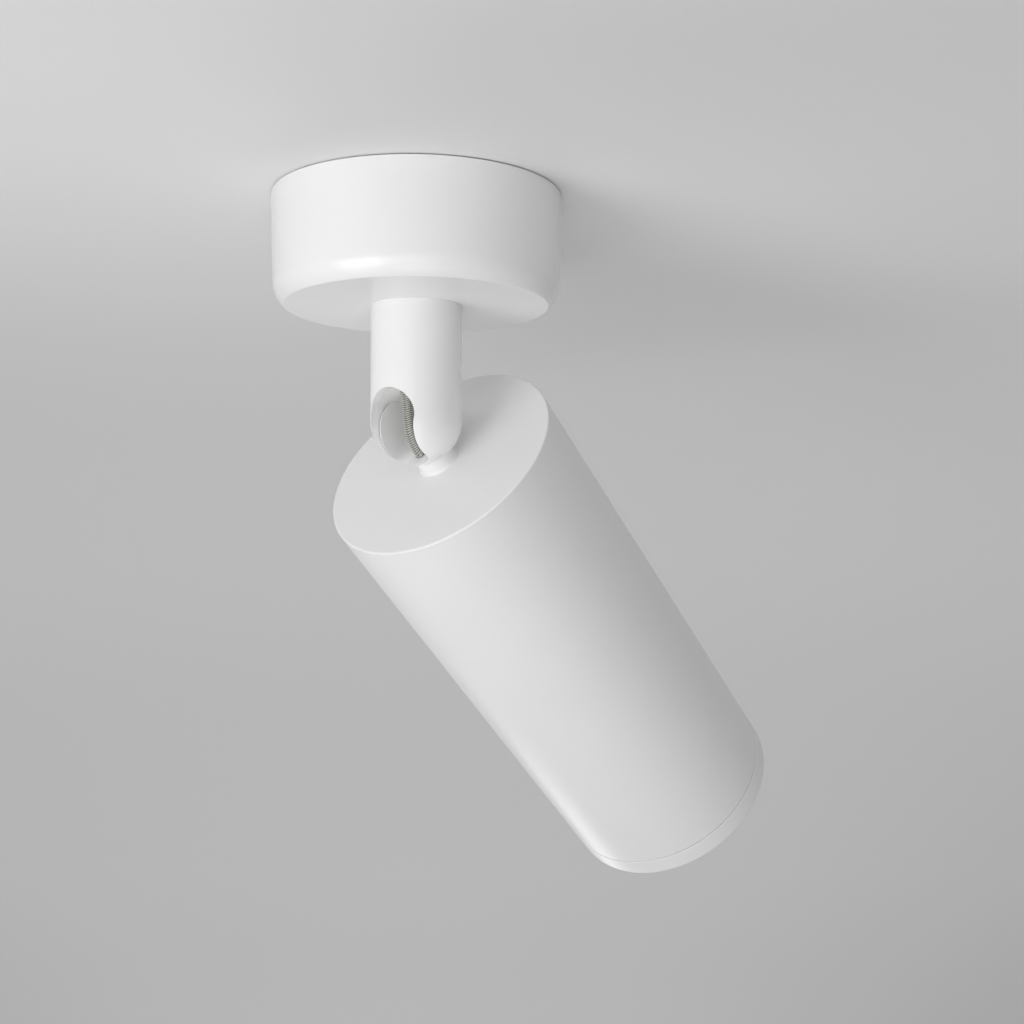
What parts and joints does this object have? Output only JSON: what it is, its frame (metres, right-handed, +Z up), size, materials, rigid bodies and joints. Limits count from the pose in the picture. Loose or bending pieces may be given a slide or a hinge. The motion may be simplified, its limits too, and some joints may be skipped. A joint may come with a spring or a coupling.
{
  "type": "surface mounted ceiling spotlight",
  "caption": "Round ceiling canopy with a swivelling stem and a long cylindrical spot head that tilts on a slotted ball joint, for a two-pin reflector lamp.",
  "frame": {"origin": "centre of the ceiling plane, midway between the two ceiling screw slots", "axes": "+Z up into the ceiling, X along the mounting bracket; the head leans towards +X and +Y at rest"},
  "size_m": [0.1349, 0.1496, 0.1715],
  "materials": {
    "white_paint": "satin white powder coat",
    "zinc_plated_steel": "zinc plated",
    "raw_aluminium": "turned",
    "ivory_plastic": "moulded",
    "white_plastic": "moulded",
    "black_plastic": "moulded",
    "brass_parts": "plain",
    "lead_insulation": "silicone insulation",
    "braided_sleeve": "fine grey braid",
    "ceramic": "unglazed ceramic",
    "clear_lens": "clear with fine facets",
    "nickel_pins": "nickel plated",
    "black_rubber": "matt",
    "silicone": "matt translucent"
  },
  "bodies": {
    "ceiling_unit": {"mounting_bracket": "zinc_plated_steel", "terminal_block": "ivory_plastic", "terminal_screws": "brass_parts", "block_rivets": "zinc_plated_steel", "earth_screw": "brass_parts", "canopy": "white_paint", "canopy_screws": "zinc_plated_steel", "swivel_stop_pin": "zinc_plated_steel", "supply_leads": "lead_insulation"},
    "swivel_stem": {"stem": "white_paint", "stem_cap": "raw_aluminium", "swivel_friction_washer": "black_plastic", "swivel_stop_washer": "zinc_plated_steel", "swivel_spring_washer": "zinc_plated_steel", "swivel_nut": "zinc_plated_steel", "cable_collar": "black_plastic", "pad_spring": "zinc_plated_steel", "friction_pad": "white_plastic", "cable_stem": "braided_sleeve", "cable_bend": "braided_sleeve"},
    "spot_head": {"ball_neck": "white_paint", "neck_washer": "zinc_plated_steel", "neck_nut": "zinc_plated_steel", "head_housing": "white_paint", "head_cap_disc": "white_paint", "holder_strap": "zinc_plated_steel", "holder_screws": "zinc_plated_steel", "lampholder": "ceramic", "holder_face": "ceramic", "holder_contacts": "brass_parts", "cable_head": "braided_sleeve", "lamp_leads": "lead_insulation"},
    "lamp": {"lamp_body": "white_plastic", "lamp_lens": "clear_lens", "lamp_base": "white_plastic", "lamp_pins": "nickel_pins"},
    "trim_ring": {"front_ring": "white_paint", "ring_o_ring": "black_rubber", "lamp_seal": "silicone"}
  },
  "joints": [
    {"name": "stem_swivel", "type": "hinge", "parent": "ceiling_unit", "child": "swivel_stem", "pos_m": [0, 0, -0.027], "axis": [0, 0, 1], "range_deg": [-168, 168]},
    {"name": "head_tilt", "type": "hinge", "parent": "swivel_stem", "child": "spot_head", "pos_m": [0, 0, -0.05665], "axis": [0.776, -0.6307, 0], "range_deg": [-132, 27.5], "deforming": ["cable_bend"]},
    {"name": "lamp_unlock", "type": "hinge", "parent": "spot_head", "child": "lamp", "pos_m": [0.04479, 0.05511, -0.11194], "axis": [0.4977, 0.6124, -0.6143], "range_deg": [0, 18]},
    {"name": "ring_pull", "type": "slide", "parent": "spot_head", "child": "trim_ring", "axis": [0.4977, 0.6124, -0.6143], "range_m": [0, 0.012]}
  ]
}
